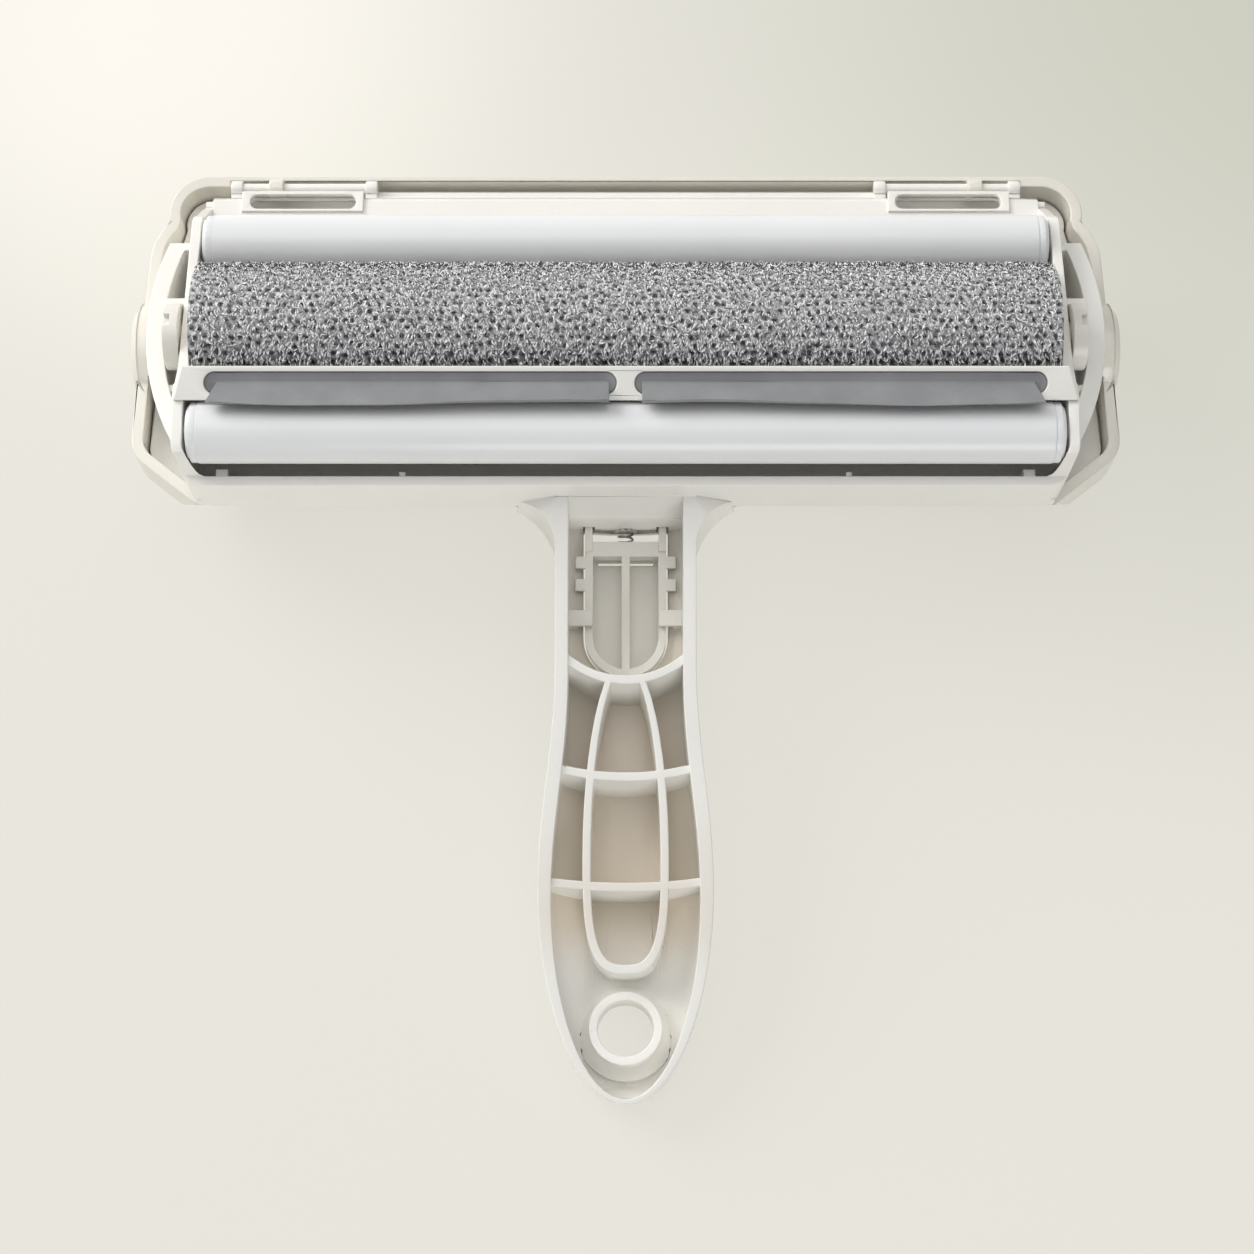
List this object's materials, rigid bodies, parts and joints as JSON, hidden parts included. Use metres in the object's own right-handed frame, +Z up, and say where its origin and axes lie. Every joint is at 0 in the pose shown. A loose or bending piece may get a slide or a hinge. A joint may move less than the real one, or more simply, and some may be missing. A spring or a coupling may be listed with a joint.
{
  "type": "pet hair removal brush",
  "caption": "T-shaped pet hair removal brush with free-rolling side rollers, a swinging drum in lint fabric, rubber wiper strips, a hinged hair bin and a ribbed handle with a hanging hole.",
  "frame": {"origin": "centre of the bounding box in plan, at the height of the table under the brush as it lies on its back", "axes": "+X along the head towards its right end as seen with the handle towards the viewer, +Y from the handle's tip towards the hinge edge, +Z up out of the working face"},
  "size_m": [0.1984, 0.1864, 0.0614],
  "materials": {
    "frame_white": "glossy moulded plastic, warm white",
    "lid_white": "glossy moulded plastic, warm white",
    "pin_white": "glossy moulded plastic",
    "button_white": "glossy moulded plastic, slightly milky",
    "spring_steel": "drawn spring wire",
    "drum_white": "moulded plastic, warm white",
    "lint_fabric": "silvery napped lint fabric",
    "strip_rubber": "matt grey rubber",
    "roller_white": "smooth glossy plastic, cool white"
  },
  "bodies": {
    "frame": {"main_frame": "frame_white", "near_strip_left": "strip_rubber", "near_strip_right": "strip_rubber", "hinge_pin_left": "pin_white", "hinge_pin_right": "pin_white", "button_spring": "spring_steel"},
    "lid": {"bin_lid": "lid_white", "lid_catch": "lid_white"},
    "button": {"release_button": "button_white"},
    "drum": {"swing_drum": "drum_white", "drum_fabric": "lint_fabric", "drum_end_left": "drum_white", "drum_end_right": "drum_white", "stop_collar_left": "drum_white", "stop_collar_right": "drum_white"},
    "near_roller": {"near_roller_tube": "roller_white", "near_roller_plug_left": "roller_white", "near_roller_plug_right": "roller_white"},
    "far_roller": {"far_roller_tube": "roller_white", "far_roller_plug_left": "roller_white", "far_roller_plug_right": "roller_white"}
  },
  "joints": [
    {"name": "lid_hinge", "type": "hinge", "parent": "frame", "child": "lid", "pos_m": [0, 0.09, 0.0335], "axis": [1, 0, 0], "range_deg": [0, 95]},
    {"name": "button_slide", "type": "slide", "parent": "frame", "child": "button", "axis": [0, 0.9882, 0.1532], "range_m": [0, 0.002], "stiffness_N_per_m": 400, "deforming": ["button_spring"]},
    {"name": "drum_swing", "type": "hinge", "parent": "frame", "child": "drum", "pos_m": [0, 0.05082, 0.04691], "axis": [1, 0, 0], "range_deg": [-55, 55]},
    {"name": "near_roller_spin", "type": "hinge", "parent": "frame", "child": "near_roller", "pos_m": [0, 0.0293, 0.0504], "axis": [1, 0, 0], "continuous": true},
    {"name": "far_roller_spin", "type": "hinge", "parent": "frame", "child": "far_roller", "pos_m": [0, 0.07234, 0.04343], "axis": [1, 0, 0], "continuous": true}
  ]
}
